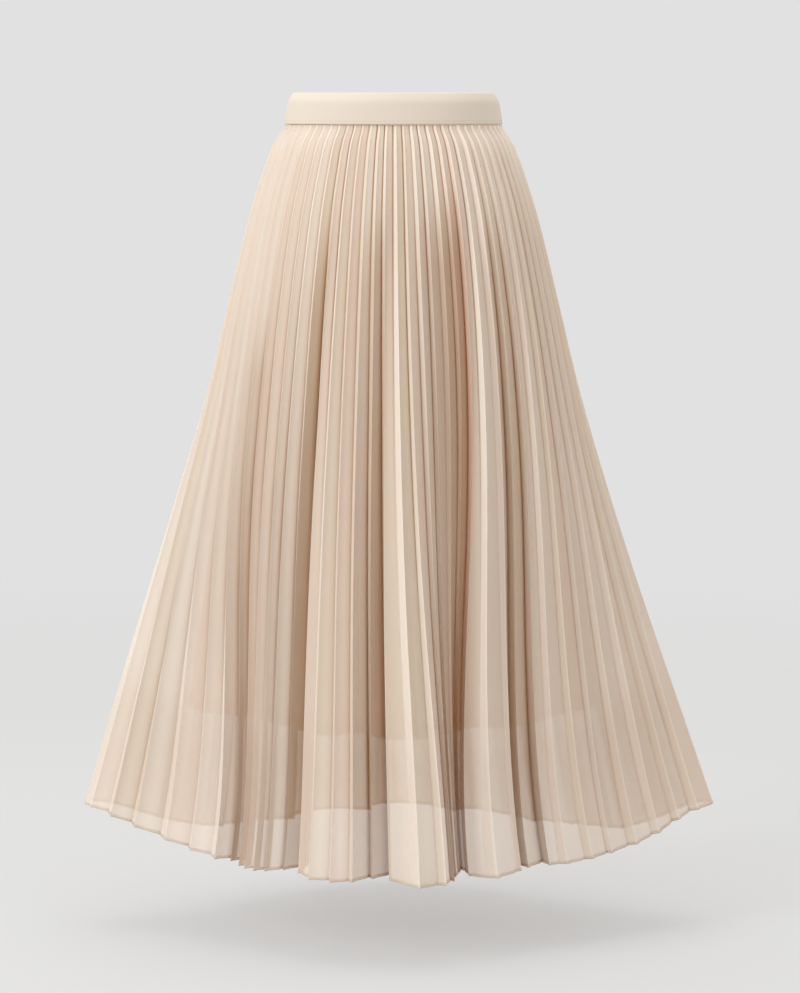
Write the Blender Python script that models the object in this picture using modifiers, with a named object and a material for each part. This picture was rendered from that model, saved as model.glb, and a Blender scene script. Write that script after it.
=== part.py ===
# Pleated maxi skirt, filled out as worn: a plain waistband, two sunray-pleated chiffon
# panels joined at the side seams, and a shorter plain A-line lining inside them.
# Metres, +Z up, the front faces -Y. The origin is the middle of the waist opening,
# halfway up the waistband.
import math
from collections import namedtuple

import bpy

# Driving dimensions
BAND_HEIGHT = 0.038
BAND_WALL = 0.0034
BAND_TOP_HALF_WIDTH = 0.1262
BAND_TOP_HALF_DEPTH = 0.0892
BAND_FOOT_HALF_WIDTH = 0.1328
BAND_FOOT_HALF_DEPTH = 0.0952
CLOTH_WALL = 0.0012
LINING_WALL = 0.0010
SEAM_GAP = 0.0003
FOOT_GAP = 0.0006
SIDE_LENGTH = 0.850
CENTRE_LENGTH = 0.891
LINING_LENGTH = 0.738
LINING_SIDE_LENGTH = 0.722
LINING_DEPTH_SHARE = 0.75
PLEATS_PER_PANEL = 36
PLEAT_CLOTH_AT_WAIST = 0.0130
PLEAT_CLOTH_AT_HEM = 0.0390
LEAST_PLEAT_DEPTH_AT_HEM = 0.0095
STITCHED_PLEAT_DEPTH = 0.0010
SEAM_STRIP = 0.0030
LINING_COLUMNS = 30
BAND_COLUMNS = 36

# The worn outline, by the drop below the waistband. lean is how far the skirt hangs to +X,
# and lining_inset how far the lining stands inside the pleats.
Level = namedtuple("Level", "drop half_width front_depth back_depth lean lining_inset")
LEVELS = (
    Level(0.000, 0.1328, 0.0952, 0.0952, 0.0000, 0.0027),
    Level(0.004, 0.1334, 0.0959, 0.0959, 0.0000, 0.0036),
    Level(0.020, 0.1440, 0.1060, 0.1070, 0.0000, 0.0062),
    Level(0.045, 0.1535, 0.1150, 0.1180, 0.0000, 0.0095),
    Level(0.095, 0.1700, 0.1280, 0.1350, 0.0000, 0.0140),
    Level(0.145, 0.1835, 0.1370, 0.1450, 0.0000, 0.0180),
    Level(0.220, 0.2020, 0.1500, 0.1570, 0.0000, 0.0240),
    Level(0.345, 0.2340, 0.1710, 0.1770, 0.0000, 0.0360),
    Level(0.470, 0.2720, 0.1900, 0.1950, 0.0000, 0.0500),
    Level(0.595, 0.3120, 0.2080, 0.2120, 0.0010, 0.0700),
    Level(0.720, 0.3530, 0.2250, 0.2280, 0.0035, 0.0940),
    Level(0.850, 0.3945, 0.2400, 0.2430, 0.0070, 0.1200),
    Level(0.910, 0.4140, 0.2460, 0.2490, 0.0085, 0.1320),
)

# Where the creases hang at the hem. place counts pleats evenly round the waist, from -1 at
# the side seam on the left to 1 at the other, and across is the share of the hem's half width.
Spread = namedtuple("Spread", "place across")
HEM_SPREAD = (
    Spread(-1.00, -1.000),
    Spread(-0.82, -0.790),
    Spread(-0.64, -0.575),
    Spread(-0.42, -0.362),
    Spread(-0.25, -0.190),
    Spread(0.00, 0.000),
    Spread(0.10, 0.062),
    Spread(0.35, 0.280),
    Spread(0.48, 0.430),
    Spread(0.61, 0.610),
    Spread(0.79, 0.810),
    Spread(1.00, 1.000),
)

# Heights of the mesh rings, as a share of the cloth's length
PANEL_RINGS = (0.0, 0.005, 0.018, 0.04, 0.075, 0.125, 0.19, 0.27, 0.37, 0.48, 0.60, 0.72, 0.83, 0.93, 1.0)
LINING_RINGS = (0.0, 0.006, 0.022, 0.055, 0.12, 0.22, 0.36, 0.52, 0.70, 0.86, 1.0)
BAND_RINGS = (0.0, 0.5, 1.0)

# Deep flutes that the pleated cloth falls in. depth is how far out the cloth stands at the
# hem, and begins is the share of the length where the flute starts.
Flute = namedtuple("Flute", "place depth begins")
FRONT_FLUTES = (
    Flute(-1.00, 0.000, 0.30),
    Flute(-0.88, 0.005, 0.40),
    Flute(-0.78, -0.006, 0.35),
    Flute(-0.67, 0.006, 0.35),
    Flute(-0.56, -0.020, 0.45),
    Flute(-0.48, 0.022, 0.40),
    Flute(-0.40, -0.016, 0.20),
    Flute(-0.33, 0.016, 0.22),
    Flute(-0.21, 0.018, 0.22),
    Flute(-0.13, -0.028, 0.15),
    Flute(-0.04, 0.018, 0.18),
    Flute(0.05, 0.024, 0.18),
    Flute(0.16, 0.018, 0.18),
    Flute(0.26, -0.034, 0.10),
    Flute(0.34, 0.022, 0.18),
    Flute(0.39, 0.020, 0.18),
    Flute(0.45, -0.016, 0.30),
    Flute(0.51, 0.010, 0.25),
    Flute(0.58, -0.014, 0.12),
    Flute(0.68, 0.008, 0.30),
    Flute(0.78, -0.004, 0.35),
    Flute(0.88, 0.004, 0.40),
    Flute(1.00, 0.000, 0.30),
)
BACK_FLUTES = (
    Flute(-1.00, 0.000, 0.30),
    Flute(-0.87, -0.004, 0.40),
    Flute(-0.76, 0.006, 0.35),
    Flute(-0.66, -0.010, 0.30),
    Flute(-0.56, 0.014, 0.25),
    Flute(-0.46, -0.018, 0.20),
    Flute(-0.36, 0.022, 0.18),
    Flute(-0.26, 0.016, 0.18),
    Flute(-0.16, -0.030, 0.12),
    Flute(-0.06, 0.020, 0.18),
    Flute(0.06, 0.020, 0.18),
    Flute(0.17, -0.026, 0.12),
    Flute(0.27, 0.020, 0.20),
    Flute(0.37, 0.020, 0.20),
    Flute(0.47, -0.018, 0.22),
    Flute(0.56, 0.014, 0.28),
    Flute(0.66, -0.012, 0.30),
    Flute(0.76, 0.006, 0.35),
    Flute(0.88, -0.004, 0.40),
    Flute(1.00, 0.000, 0.30),
)

# How the section changes from the waist's oval to the hem's bell
BELL_FULL_DROP = 0.72
PANEL_BELL = 0.55
LINING_BELL = 0.30
OVAL_POWER = 0.50
BELL_POWER = 0.25
CROWN_POWER = 4
HEM_RISE_POWER = 3.8
CREST_LEAN_AT_CENTRE = 0.10
CREST_LEAN_AT_SIDES = 0.36
TANGENT_STEP = 0.004
SHARP_CREASE = math.radians(25)

FRONT = -1.0
BACK = 1.0
CHIFFON = (0.76, 0.65, 0.52)
LINING = (0.70, 0.57, 0.44)
BAND = (0.80, 0.71, 0.60)


def smooth(share):
    """An even start and finish between 0 and 1."""
    share = min(max(share, 0.0), 1.0)
    return share * share * (3.0 - 2.0 * share)


def along(table, key, column, value):
    """A column of a table where its key column has this value, as a smooth curve."""
    row = 0
    while row < len(table) - 2 and getattr(table[row + 1], key) < value:
        row += 1
    rows = [table[min(max(index, 0), len(table) - 1)] for index in range(row - 1, row + 3)]
    k0, k1, k2, k3 = (getattr(entry, key) for entry in rows)
    v0, v1, v2, v3 = (getattr(entry, column) for entry in rows)
    step = k2 - k1
    share = (value - k1) / step
    slope_in = (v2 - v0) / (k2 - k0) * step
    slope_out = (v3 - v1) / (k3 - k1) * step
    square, cube = share * share, share * share * share
    return (
        (2 * cube - 3 * square + 1) * v1
        + (cube - 2 * square + share) * slope_in
        + (3 * square - 2 * cube) * v2
        + (cube - square) * slope_out
    )


def ring_point(place, drop, half_width, half_depth, bell_share=PANEL_BELL):
    """A point of the plain section: an oval at the waist, a bell with wide wings at the hem."""
    bell = smooth(drop / BELL_FULL_DROP)
    roundness = 0.5 * (half_width - half_depth) / (half_width + half_depth)
    angle = place * math.pi / 2 - roundness * math.sin(place * math.pi)
    across = (1 - bell) * math.sin(angle) + bell * along(HEM_SPREAD, "place", "across", place)
    flank = max(1 - across * across, 0.0) ** (OVAL_POWER + BELL_POWER * bell)
    crown = math.cos(across * math.pi / 2) ** CROWN_POWER
    depth = (1 - bell_share * bell) * flank + bell_share * bell * crown
    return half_width * across, half_depth * depth


def ring_normal(place, drop, half_width, half_depth):
    """The outward direction of the plain section, in plan."""
    x0, y0 = ring_point(max(place - TANGENT_STEP, -1.0), drop, half_width, half_depth)
    x1, y1 = ring_point(min(place + TANGENT_STEP, 1.0), drop, half_width, half_depth)
    length = math.hypot(x1 - x0, y1 - y0)
    return (y0 - y1) / length, (x1 - x0) / length


def flute_depth(flutes, place, share):
    """How far the cloth stands out of the plain section."""
    row = 0
    while row < len(flutes) - 2 and flutes[row + 1].place < place:
        row += 1
    left, right = flutes[row], flutes[row + 1]
    across = smooth((place - left.place) / (right.place - left.place))
    begins = left.begins + (right.begins - left.begins) * across
    depth = left.depth + (right.depth - left.depth) * across
    return depth * max(share - begins, 0.0) / (1 - begins)


def panel_length(place):
    """Length of the pleated cloth, shorter towards the side seams as it is worn."""
    return CENTRE_LENGTH - (CENTRE_LENGTH - SIDE_LENGTH) * abs(place) ** HEM_RISE_POWER


def pleat_places():
    """Places of the pleats' inner and outer creases, in turn, from seam to seam."""
    half_pleat = 1.0 / PLEATS_PER_PANEL
    places = []
    for crease in range(2 * PLEATS_PER_PANEL + 1):
        place = -1.0 + crease * half_pleat
        if crease % 2:
            lean = CREST_LEAN_AT_CENTRE + (CREST_LEAN_AT_SIDES - CREST_LEAN_AT_CENTRE) * abs(place)
            place -= lean * half_pleat
        places.append(place)
    return places


def pleat_depth(pitch, share):
    """Depth left in a pleat when its cloth is spread over this pitch."""
    cloth = PLEAT_CLOTH_AT_WAIST + (PLEAT_CLOTH_AT_HEM - PLEAT_CLOTH_AT_WAIST) * share
    deep = 0.5 * math.sqrt(max(cloth * cloth - pitch * pitch, 0.0))
    least = STITCHED_PLEAT_DEPTH + (LEAST_PLEAT_DEPTH_AT_HEM - STITCHED_PLEAT_DEPTH) * share
    opened = smooth(share / PANEL_RINGS[2])
    return STITCHED_PLEAT_DEPTH + (max(deep, least) - STITCHED_PLEAT_DEPTH) * opened


def with_seams(ring, side):
    """The ring moved out to this side, with a narrow straight strip down each side seam."""
    moved = [(x, side * (y + SEAM_STRIP), z) for x, y, z in ring]
    seam = side * SEAM_GAP / 2
    left, right = moved[0], moved[-1]
    return [(left[0], seam, left[2])] + moved + [(right[0], seam, right[2])]


def panel_ring(share, side, flutes):
    """One ring of a pleated panel, seam to seam."""
    depth_column = "front_depth" if side == FRONT else "back_depth"
    half_pleat = 1.0 / PLEATS_PER_PANEL
    top = -BAND_HEIGHT / 2 - FOOT_GAP
    ring = []
    for crease, place in enumerate(pleat_places()):
        drop = share * panel_length(place)
        half_width = along(LEVELS, "drop", "half_width", drop)
        half_depth = along(LEVELS, "drop", depth_column, drop) - SEAM_STRIP

        def fluted(at):
            x, y = ring_point(at, drop, half_width, half_depth)
            across, out = ring_normal(at, drop, half_width, half_depth)
            height = flute_depth(flutes, at, share)
            return x + height * across, y + height * out

        x0, y0 = fluted(max(place - half_pleat, -1.0))
        x1, y1 = fluted(min(place + half_pleat, 1.0))
        pitch = math.hypot(x1 - x0, y1 - y0)
        x, y = fluted(place)
        if 0 < crease < 2 * PLEATS_PER_PANEL:
            height = pleat_depth(pitch, share) * (0.5 if crease % 2 else -0.5)
            across, out = ring_normal(place, drop, half_width, half_depth)
            x += height * across
            y += height * out
        ring.append((x + along(LEVELS, "drop", "lean", drop), y, top - drop))
    return with_seams(ring, side)


def lining_ring(share, side):
    """One ring of a plain lining panel, inside the pleated one."""
    depth_column = "front_depth" if side == FRONT else "back_depth"
    top = -BAND_HEIGHT / 2 - FOOT_GAP
    ring = []
    for column in range(LINING_COLUMNS + 1):
        place = -1.0 + 2.0 * column / LINING_COLUMNS
        length = LINING_LENGTH - (LINING_LENGTH - LINING_SIDE_LENGTH) * place * place
        drop = share * length
        inset = along(LEVELS, "drop", "lining_inset", drop)
        half_width = along(LEVELS, "drop", "half_width", drop) - inset
        half_depth = along(LEVELS, "drop", depth_column, drop) - SEAM_STRIP - LINING_DEPTH_SHARE * inset
        x, y = ring_point(place, drop, half_width, half_depth, LINING_BELL)
        ring.append((x, y, top - drop))
    return with_seams(ring, side)


def band_ring(share, side):
    """One ring of half the waistband, from its foot at 0 to its top edge at 1."""
    half_width = BAND_FOOT_HALF_WIDTH + (BAND_TOP_HALF_WIDTH - BAND_FOOT_HALF_WIDTH) * share
    half_depth = BAND_FOOT_HALF_DEPTH + (BAND_TOP_HALF_DEPTH - BAND_FOOT_HALF_DEPTH) * share
    z = BAND_HEIGHT * (share - 0.5)
    ring = []
    for column in range(BAND_COLUMNS + 1):
        place = -1.0 + 2.0 * column / BAND_COLUMNS
        x, y = ring_point(place, 0.0, half_width, half_depth - SEAM_STRIP)
        ring.append((x, y, z))
    return with_seams(ring, side)


def material(name, colour, roughness):
    """A matt cloth."""
    made = bpy.data.materials.new(name)
    made.use_nodes = True
    shader = made.node_tree.nodes["Principled BSDF"]
    shader.inputs["Base Color"].default_value = (*colour, 1.0)
    shader.inputs["Roughness"].default_value = roughness
    shader.inputs["Metallic"].default_value = 0.0
    made.diffuse_color = (*colour, 1.0)
    return made


def wall(name, rings, thickness, side, finish, collection):
    """A sheet through the rings, top ring first, given its thickness by Solidify."""
    columns = len(rings[0])
    points = [point for ring in rings for point in ring]
    faces = []
    for row in range(len(rings) - 1):
        for column in range(columns - 1):
            here = row * columns + column
            face = (here, here + columns, here + columns + 1, here + 1)
            faces.append(face if side == FRONT else face[::-1])
    mesh = bpy.data.meshes.new(name)
    mesh.from_pydata(points, [], faces)
    mesh.materials.append(finish)
    mesh.shade_smooth()
    mesh.set_sharp_from_angle(angle=SHARP_CREASE)
    piece = bpy.data.objects.new(name, mesh)
    collection.objects.link(piece)
    thicken = piece.modifiers.new("wall", "SOLIDIFY")
    thicken.thickness = thickness
    thicken.offset = 0.0
    thicken.use_even_offset = True
    return piece


def build():
    """The six pieces of the skirt."""
    for item in list(bpy.data.objects):
        bpy.data.objects.remove(item)
    collection = bpy.data.collections.new("pleated_maxi_skirt")
    bpy.context.scene.collection.children.link(collection)
    band_cloth = material("waistband", BAND, 0.75)
    chiffon = material("chiffon", CHIFFON, 0.80)
    lining_cloth = material("lining", LINING, 0.65)
    for side, end, flutes in ((FRONT, "front", FRONT_FLUTES), (BACK, "back", BACK_FLUTES)):
        band = [band_ring(1.0 - share, side) for share in BAND_RINGS]
        wall(f"waistband_{end}", band, BAND_WALL, side, band_cloth, collection)
        panel = [panel_ring(share, side, flutes) for share in PANEL_RINGS]
        wall(f"pleated_{end}", panel, CLOTH_WALL, side, chiffon, collection)
        lining = [lining_ring(share, side) for share in LINING_RINGS]
        wall(f"lining_{end}", lining, LINING_WALL, side, lining_cloth, collection)


build()
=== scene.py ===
import functools
import math
import random
from collections import namedtuple

import bmesh
import bpy
from bpy.props import FloatProperty, FloatVectorProperty, IntProperty, PointerProperty
from mathutils import Matrix, Vector
from mathutils.bvhtree import BVHTree


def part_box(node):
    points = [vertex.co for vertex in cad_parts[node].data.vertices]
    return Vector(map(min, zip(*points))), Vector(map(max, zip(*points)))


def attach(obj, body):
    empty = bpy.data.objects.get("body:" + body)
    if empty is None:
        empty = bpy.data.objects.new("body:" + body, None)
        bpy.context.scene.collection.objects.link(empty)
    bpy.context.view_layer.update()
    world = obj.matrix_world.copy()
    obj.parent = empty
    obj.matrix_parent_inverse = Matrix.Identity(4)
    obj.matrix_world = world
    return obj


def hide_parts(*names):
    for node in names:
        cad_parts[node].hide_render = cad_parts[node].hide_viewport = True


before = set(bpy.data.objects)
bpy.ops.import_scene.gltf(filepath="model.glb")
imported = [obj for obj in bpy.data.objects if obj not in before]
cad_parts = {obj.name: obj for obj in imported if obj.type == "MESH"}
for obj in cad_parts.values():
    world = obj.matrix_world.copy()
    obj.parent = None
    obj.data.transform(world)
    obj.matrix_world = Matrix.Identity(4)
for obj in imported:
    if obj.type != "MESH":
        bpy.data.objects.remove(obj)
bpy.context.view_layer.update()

bl_info = {
    "name": "Pleated maxi skirt",
    "version": (1, 0, 0),
    "blender": (4, 5, 0),
    "location": "View3D > Sidebar > Skirt",
    "description": "Sheer sunray-pleated skirt with a plain waistband and a shorter lining",
    "category": "Object",
}

# Metres, +Z up, the front faces -Y, and the origin is the middle of the waist opening,
# halfway up the waistband.
FRONT = -1.0
BACK = 1.0
BAND_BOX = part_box("waistband_front")
BAND_HEIGHT = BAND_BOX[1].z - BAND_BOX[0].z

# The worn form. The foot gap is the waist seam under the band, and lengths run down the cloth
# from there. The hem rises only near the side seams, where a narrow strip turns to the side.
FOOT_GAP = 0.0006
SIDE_LENGTH = 0.846
CENTRE_LENGTH = 0.896
HEM_RISE_POWER = 11.0
SEAM_STRIP = 0.0030
SEAM_MEETS = 0.00005

# Cloth in one pleat, and how deep its fold stays where the cloth is spread. The pleats are
# stitched flat into the band, puckered in the middle, and open later towards the sides.
PLEAT_CLOTH_AT_WAIST = 0.0130
PLEAT_CLOTH_AT_HEM = 0.0430
LEAST_PLEAT_DEPTH_AT_HEM = 0.0095
STITCHED_PLEAT_DEPTH = 0.0010
PLEAT_OPENS_AT = 0.012
PLEAT_OPENS_AT_SIDES = 0.06
PUCKERED_PLACE = 0.28
FLATTER_BEYOND = 0.30

# The plain section is an oval at the waist and becomes a bell, crowned in the middle and winged
# at the sides, by the time the cloth has dropped this far.
BELL_FULL_DROP = 0.891
BELL_LATE_POWER = 1.3
PANEL_BELL = 0.55
LINING_BELL = 0.30
OVAL_POWER = 0.50
BELL_POWER = 0.25
CROWN_POWER = 4
TANGENT_STEP = 0.004

# The outline at each drop below the waist seam: half the width, the depths to the front and to
# the back, how far it leans to +X, and how far the lining hangs inside it
Level = namedtuple("Level", "drop half_width front_depth back_depth lean lining_inset")
LEVELS = tuple(Level(*row) for row in (
    (0.000, 0.1328, 0.0952, 0.0952, 0.0000, 0.0027),
    (0.004, 0.1334, 0.0959, 0.0959, 0.0000, 0.0036),
    (0.020, 0.1440, 0.1060, 0.1070, 0.0000, 0.0062),
    (0.045, 0.1535, 0.1150, 0.1180, 0.0000, 0.0095),
    (0.095, 0.1700, 0.1280, 0.1350, 0.0000, 0.0140),
    (0.145, 0.1835, 0.1370, 0.1450, 0.0000, 0.0180),
    (0.220, 0.2020, 0.1500, 0.1570, 0.0000, 0.0240),
    (0.345, 0.2340, 0.1710, 0.1770, 0.0000, 0.0360),
    (0.470, 0.2720, 0.1900, 0.1950, 0.0000, 0.0500),
    (0.595, 0.3120, 0.2080, 0.2120, 0.0010, 0.0700),
    (0.720, 0.3530, 0.2250, 0.2280, 0.0035, 0.0940),
    (0.850, 0.3945, 0.2400, 0.2430, 0.0070, 0.1200),
    (0.910, 0.4140, 0.2460, 0.2490, 0.0085, 0.1320),
))

# crease counts half pleats from the left side seam, 0, to the right one, 72, and across is the
# share of the hem's half width where that crease hangs. Creases crowd together in the front's
# deep valleys, and the lining is spread as the front is.
CREASES = 72
Spread = namedtuple("Spread", "crease across")
FRONT_SPREAD = tuple(Spread(*pair) for pair in (
    (0, -1.000), (4, -0.840), (8, -0.655), (11, -0.535), (12, -0.514), (13, -0.499),
    (14, -0.485), (15, -0.468), (18, -0.424), (21, -0.378), (24, -0.320), (25, -0.296),
    (30, -0.152), (32, -0.108), (34, -0.056), (35, -0.030), (36, 0.035), (37, 0.060),
    (38, 0.105), (39, 0.130), (40, 0.142), (42, 0.149), (44, 0.155), (46, 0.162),
    (48, 0.170), (49, 0.202), (52, 0.338), (54, 0.364), (55, 0.386), (56, 0.420),
    (57, 0.438), (64, 0.700), (72, 1.000),
))
BACK_SPREAD = tuple(Spread(*pair) for pair in (
    (0, -1.000), (8, -0.700), (12, -0.570), (13, -0.548), (20, -0.375), (21, -0.348),
    (30, -0.130), (31, -0.102), (36, 0.030), (42, 0.165), (43, 0.194), (52, 0.430),
    (53, 0.458), (62, 0.700), (72, 1.000),
))

# Deep flutes. depth is how far out the cloth stands at the hem, shift how far it is pushed to
# +X there, pleat how deep its pleats stay, begins the share of the length where the flute
# starts, and tone how much shade is painted into the cloth of its valley.
Flute = namedtuple("Flute", "crease depth shift pleat begins tone")
FRONT_FLUTES = tuple(Flute(*row) for row in (
    (0, 0.000, 0.000, 1.0, 0.30, 0.00),
    (3, 0.006, 0.000, 1.2, 0.35, 0.00),
    (6, -0.004, 0.000, 1.1, 0.35, 0.03),
    (9, 0.000, 0.000, 1.1, 0.40, 0.05),
    (11, 0.006, 0.000, 0.9, 0.40, 0.00),
    (12, -0.013, 0.003, 0.6, 0.45, 0.40),
    (13, 0.003, 0.000, 0.6, 0.45, 0.10),
    (14, -0.018, 0.005, 0.6, 0.45, 0.48),
    (15, 0.009, 0.000, 0.9, 0.40, 0.00),
    (18, 0.015, 0.000, 0.9, 0.30, 0.03),
    (21, 0.009, 0.000, 0.9, 0.28, 0.05),
    (23, -0.010, 0.004, 0.9, 0.22, 0.20),
    (24, -0.036, 0.010, 1.0, 0.14, 0.70),
    (25, 0.012, 0.000, 0.6, 0.14, 0.00),
    (27, 0.019, 0.000, 0.7, 0.20, 0.00),
    (30, 0.013, 0.000, 0.7, 0.20, 0.12),
    (32, -0.016, 0.004, 0.8, 0.16, 0.46),
    (33, -0.020, 0.006, 0.8, 0.14, 0.30),
    (34, -0.036, 0.010, 0.9, 0.12, 0.52),
    (35, 0.016, 0.000, 0.6, 0.12, 0.00),
    (37, 0.025, 0.000, 0.6, 0.18, 0.00),
    (39, 0.018, 0.000, 0.6, 0.16, 0.04),
    (40, 0.004, 0.002, 0.6, 0.14, 0.20),
    (42, -0.014, 0.005, 0.4, 0.12, 0.38),
    (44, -0.034, 0.011, 0.2, 0.12, 0.56),
    (46, -0.050, 0.014, 0.2, 0.10, 0.70),
    (48, -0.042, 0.017, 0.3, 0.08, 0.90),
    (49, 0.006, 0.000, 0.6, 0.10, 0.00),
    (51, 0.022, 0.000, 0.5, 0.14, 0.00),
    (52, 0.008, 0.002, 0.7, 0.18, 0.16),
    (53, -0.007, 0.001, 0.4, 0.14, 0.30),
    (54, -0.026, 0.003, 0.4, 0.12, 0.50),
    (55, 0.006, 0.000, 0.7, 0.12, 0.00),
    (56, -0.022, 0.008, 0.7, 0.12, 0.45),
    (57, 0.008, 0.000, 0.6, 0.12, 0.00),
    (60, 0.009, 0.000, 0.5, 0.10, 0.14),
    (63, 0.003, 0.000, 0.5, 0.06, 0.22),
    (66, 0.006, 0.000, 0.5, 0.06, 0.20),
    (69, 0.001, 0.000, 0.5, 0.06, 0.18),
    (72, 0.000, 0.000, 0.7, 0.06, 0.14),
))
BACK_FLUTES = tuple(Flute(*row) for row in (
    (0, 0.000, 0.000, 1.0, 0.30, 0.00),
    (4, -0.004, 0.000, 1.2, 0.40, 0.05),
    (8, 0.006, 0.000, 1.2, 0.35, 0.00),
    (12, -0.016, 0.003, 1.0, 0.30, 0.45),
    (13, 0.008, 0.000, 0.8, 0.30, 0.00),
    (17, 0.014, 0.000, 0.8, 0.25, 0.00),
    (20, -0.026, 0.008, 1.0, 0.16, 0.62),
    (21, 0.014, 0.000, 0.6, 0.16, 0.00),
    (26, 0.020, 0.000, 0.5, 0.18, 0.05),
    (30, -0.034, 0.010, 1.0, 0.12, 0.80),
    (31, 0.014, 0.000, 0.6, 0.14, 0.00),
    (35, 0.022, 0.000, 0.5, 0.18, 0.00),
    (38, 0.014, 0.000, 0.6, 0.16, 0.10),
    (42, -0.036, 0.012, 1.0, 0.10, 0.85),
    (43, 0.014, 0.000, 0.6, 0.12, 0.00),
    (46, 0.020, 0.000, 0.5, 0.20, 0.00),
    (49, 0.006, 0.002, 0.8, 0.18, 0.20),
    (52, -0.028, 0.008, 1.0, 0.14, 0.70),
    (53, 0.010, 0.000, 0.7, 0.14, 0.00),
    (58, 0.012, 0.000, 0.9, 0.25, 0.05),
    (62, -0.014, 0.003, 1.0, 0.30, 0.42),
    (63, 0.006, 0.000, 1.0, 0.35, 0.00),
    (68, -0.003, 0.000, 1.2, 0.40, 0.05),
    (72, 0.000, 0.000, 1.0, 0.30, 0.00),
))

# What sets the front and the back apart, and the seed of their unevenness
Half = namedtuple("Half", "end depth flutes spread seed")
HALVES = {
    FRONT: Half("front", "front_depth", FRONT_FLUTES, FRONT_SPREAD, 11),
    BACK: Half("back", "back_depth", BACK_FLUTES, BACK_SPREAD, 23),
}

# Mesh columns across one face of a pleat, as shares of the face, how strongly a painted
# highlight shows at each of them on a face that rises to a pressed outer edge, and rows down the
# cloth, which crowd together near the waist
FACE_COLUMNS = (0.0, 0.07, 0.27, 0.50, 0.73, 0.93)
CREST_HIGHLIGHT = (0.0, 0.0, 0.0, 0.0, 0.42, 0.80)
PANEL_ROWS = 66
ROW_CROWDING = 1.25

# How uneven the pressed pleats are, as shares of half a pleat or of its depth. The outer creases
# lean to the left, more so on the right, and each crease sways on its way down.
PLACE_UNEVEN = 0.13
DEPTH_UNEVEN = 0.22
CREST_LEAN_AT_LEFT = 0.30
CREST_LEAN_AT_RIGHT = 0.50
SWAY = 0.14
LEAST_SWAY = 0.3
SWAY_TURN = 5.0
FACE_BOW = 0.05

# A flute also pushes its cloth sideways, and dips at the hem by a share of how far it stands
# out. An outer crease dips a little more than the inner ones beside it.
FLUTE_SIDEWAYS = 0.3
HEM_DIP = 0.06
CREST_DROP = 0.0004

# How closed in the folds are, which sets the shade painted into them: looks to each side,
# how far, and every how many rows
SHADE_TURNS = (-75, -60, -45, -30, -15, 0, 15, 30, 45, 60, 75)
SHADE_REACH = 0.075
SHADE_ROW_STEP = 3
SHADE_STARTS = 0.22
SHADE_FULL = 0.80
SHADE_LIFT = 0.0004

# The shade painted into a flute's valley: the share of the length over which it grows, how it
# pales over the last quarter, and the slight darkening that all the cloth gets there
VALLEY_GROWS_OVER = 0.14
VALLEY_PALES_FROM = 0.76
VALLEY_PALES_BY = 0.40
HEM_TONE = 0.13
HEM_TONES_OVER = 0.10

# The shade painted into the inner creases: strongest where they are pinched shut near the waist,
# uneven from crease to crease, weaker at the sides, and darkest in the puckers under the band
PINCH_STRENGTH = 0.9
PINCH_POWER = 1.4
PINCH_FLAT = 0.02
PINCH_WIDTH = 0.22
PINCH_FADES_BY = 0.75
PINCH_LOST_AT_SIDES = 0.6
PUCKER_REACH = 0.035
PUCKER_STRENGTH = 0.8

# Waistband: its oval at the foot and at the top edge, which rolls inwards, the shallow grooves
# of its seams, and a slight unevenness all round
BAND_TOP_HALF_WIDTH = 0.1262
BAND_TOP_HALF_DEPTH = 0.0892
BAND_FOOT_HALF_WIDTH = 0.1328
BAND_FOOT_HALF_DEPTH = 0.0952
BAND_COLUMNS = 64
BAND_SIDE_ROWS = 9
BAND_EDGE_STEPS = 5
BAND_SEAM_PLACE = 0.010
BAND_GROOVE = 0.0004
BAND_ROLL = 0.0044
BAND_ROLLS_FROM = 0.60
BAND_WAVE = 0.0003
BAND_WAVE_TURN = 9.0
FOOT_GROOVE_HEIGHT = 0.0022
FOOT_GROOVE_STEPS = 4

# Lining: it hangs inside the chiffon and eases away from it just under the band.
LINING_LENGTH = 0.738
LINING_SIDE_LENGTH = 0.722
LINING_DEPTH_SHARE = 0.75
LINING_EASE = 0.0040
LINING_EASES_BY = 0.012
LINING_COLUMNS = 96
LINING_ROWS = 40
LINING_FOOT_LEVEL = 9
LINING_FOLD_STARTS = 0.30
LINING_FOLD_DIP = 0.6

# Soft upright folds of the lining: how many across a panel, how deep at its hem, where they lie
SoftFold = namedtuple("SoftFold", "count depth phase")
LINING_FOLDS = (
    SoftFold(3.5, 0.0032, 0.6),
    SoftFold(6.0, 0.0022, 2.1),
    SoftFold(9.5, 0.0010, 4.0),
)

# Turned hems and side seams: what the folded cloth adds to the thickness, how far down the hem
# its stitches run, and the half thickness of their thread
Sewing = namedtuple("Sewing", "slot extra down thread")
CHIFFON_SEWING = Sewing("chiffon", 0.0006, 0.2, 0.00022)
LINING_SEWING = Sewing("lining", 0.0008, 0.1, 0.00025)
SIDE_SEAM_THICKNESS = 0.0009
SIDE_SEAM_COLUMNS = 3

# A stitch: half its length as a share of the pitch, its height as a share of its width, and how
# far its middle stands off the middle of the cloth
STITCH_HALF_LENGTH = 0.36
STITCH_FLATTENED = 0.8
STITCH_LIFT = 0.0009

# How sheer the chiffon is where it lies single and where a pleat folds back, how strongly painted
# shade darkens its closed folds and flutes, how strongly its pressed edges and the painted
# highlight beside them are paled, and how far a face may turn pink or straw. Threads a quarter
# of a millimetre apart or less are too fine to show, so both weaves are drawn several times as
# coarse, in millimetres.
CHIFFON_WEAVE = 1.4
LINING_WEAVE = 1.0
SHEER_OPACITY = 0.48
FOLDED_OPACITY = 0.68
CLOSED_SHADE = 0.40
VALLEY_SHADE = 0.85
TINT_STRENGTH = 0.26
CREST_STRENGTH = 0.55
PINK_TINT = "EFC6AE"
STRAW_TINT = "D8BE92"

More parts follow.
